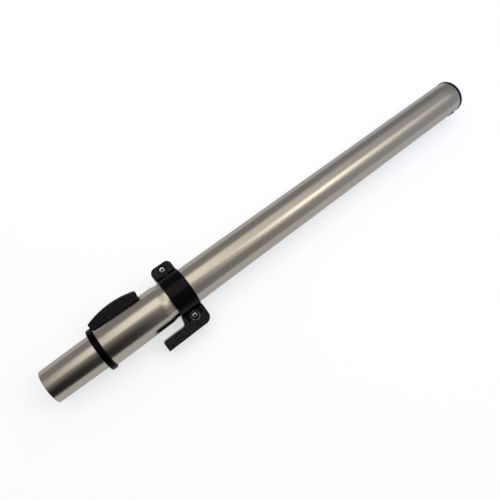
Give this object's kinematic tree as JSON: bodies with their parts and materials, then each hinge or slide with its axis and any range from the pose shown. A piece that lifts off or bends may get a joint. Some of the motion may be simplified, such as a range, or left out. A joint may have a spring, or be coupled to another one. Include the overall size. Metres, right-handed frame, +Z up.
{
  "type": "telescopic vacuum wand",
  "caption": "Telescopic steel suction tube with a slide button length lock, a clamp with a parking hook and a handle socket.",
  "frame": {"origin": "centre of the mouth of the handle socket, on the tube axis", "axes": "+X along the tubes and out of the handle socket, +Z up as the wand lies with its hook and clamp band on the floor"},
  "size_m": [0.497, 0.0668, 0.0416],
  "materials": {
    "steel": "satin polished stainless steel",
    "collar_plastic": "black moulded, satin",
    "button_plastic": "black moulded, fine grain",
    "clamp_plastic": "black moulded, gloss band and grained ears",
    "seal_rubber": "black rubber",
    "glide_plastic": "pale grey low-friction plastic",
    "zinc_steel": "bright zinc-plated steel"
  },
  "bodies": {
    "outer": {"outer_tube": "steel", "end_bush": "collar_plastic", "guide_bush": "collar_plastic", "air_seal": "seal_rubber", "slide_rail": "glide_plastic", "rail_rivets": "zinc_steel", "return_spring": "zinc_steel", "clamp_front_half": "clamp_plastic", "clamp_rear_half": "clamp_plastic", "upper_clamp_screw": "zinc_steel", "lower_clamp_screw": "zinc_steel", "upper_clamp_nut": "zinc_steel", "lower_clamp_nut": "zinc_steel"},
    "inner": {"inner_tube": "steel", "rear_glide_ring": "glide_plastic"},
    "button": {"slide_button": "button_plastic"},
    "lock": {"lock_shoe": "glide_plastic", "shoe_lining": "seal_rubber", "cross_pin": "zinc_steel"}
  },
  "joints": [
    {"name": "tube_slide", "type": "slide", "parent": "outer", "child": "inner", "axis": [-1, 0, 0], "range_m": [0, 0.318]},
    {"name": "button_slide", "type": "slide", "parent": "outer", "child": "button", "axis": [1, 0, 0], "range_m": [0, 0.005], "stiffness_N_per_m": 600, "springref_m": -0.004, "deforming": ["return_spring"]},
    {"name": "shoe_lift", "type": "slide", "parent": "outer", "child": "lock", "axis": [0, 0.9733, 0.2294], "range_m": [0, 0.001]}
  ],
  "couplings": [
    {"joint": "shoe_lift", "follows": "button_slide", "ratio": 0.2}
  ]
}
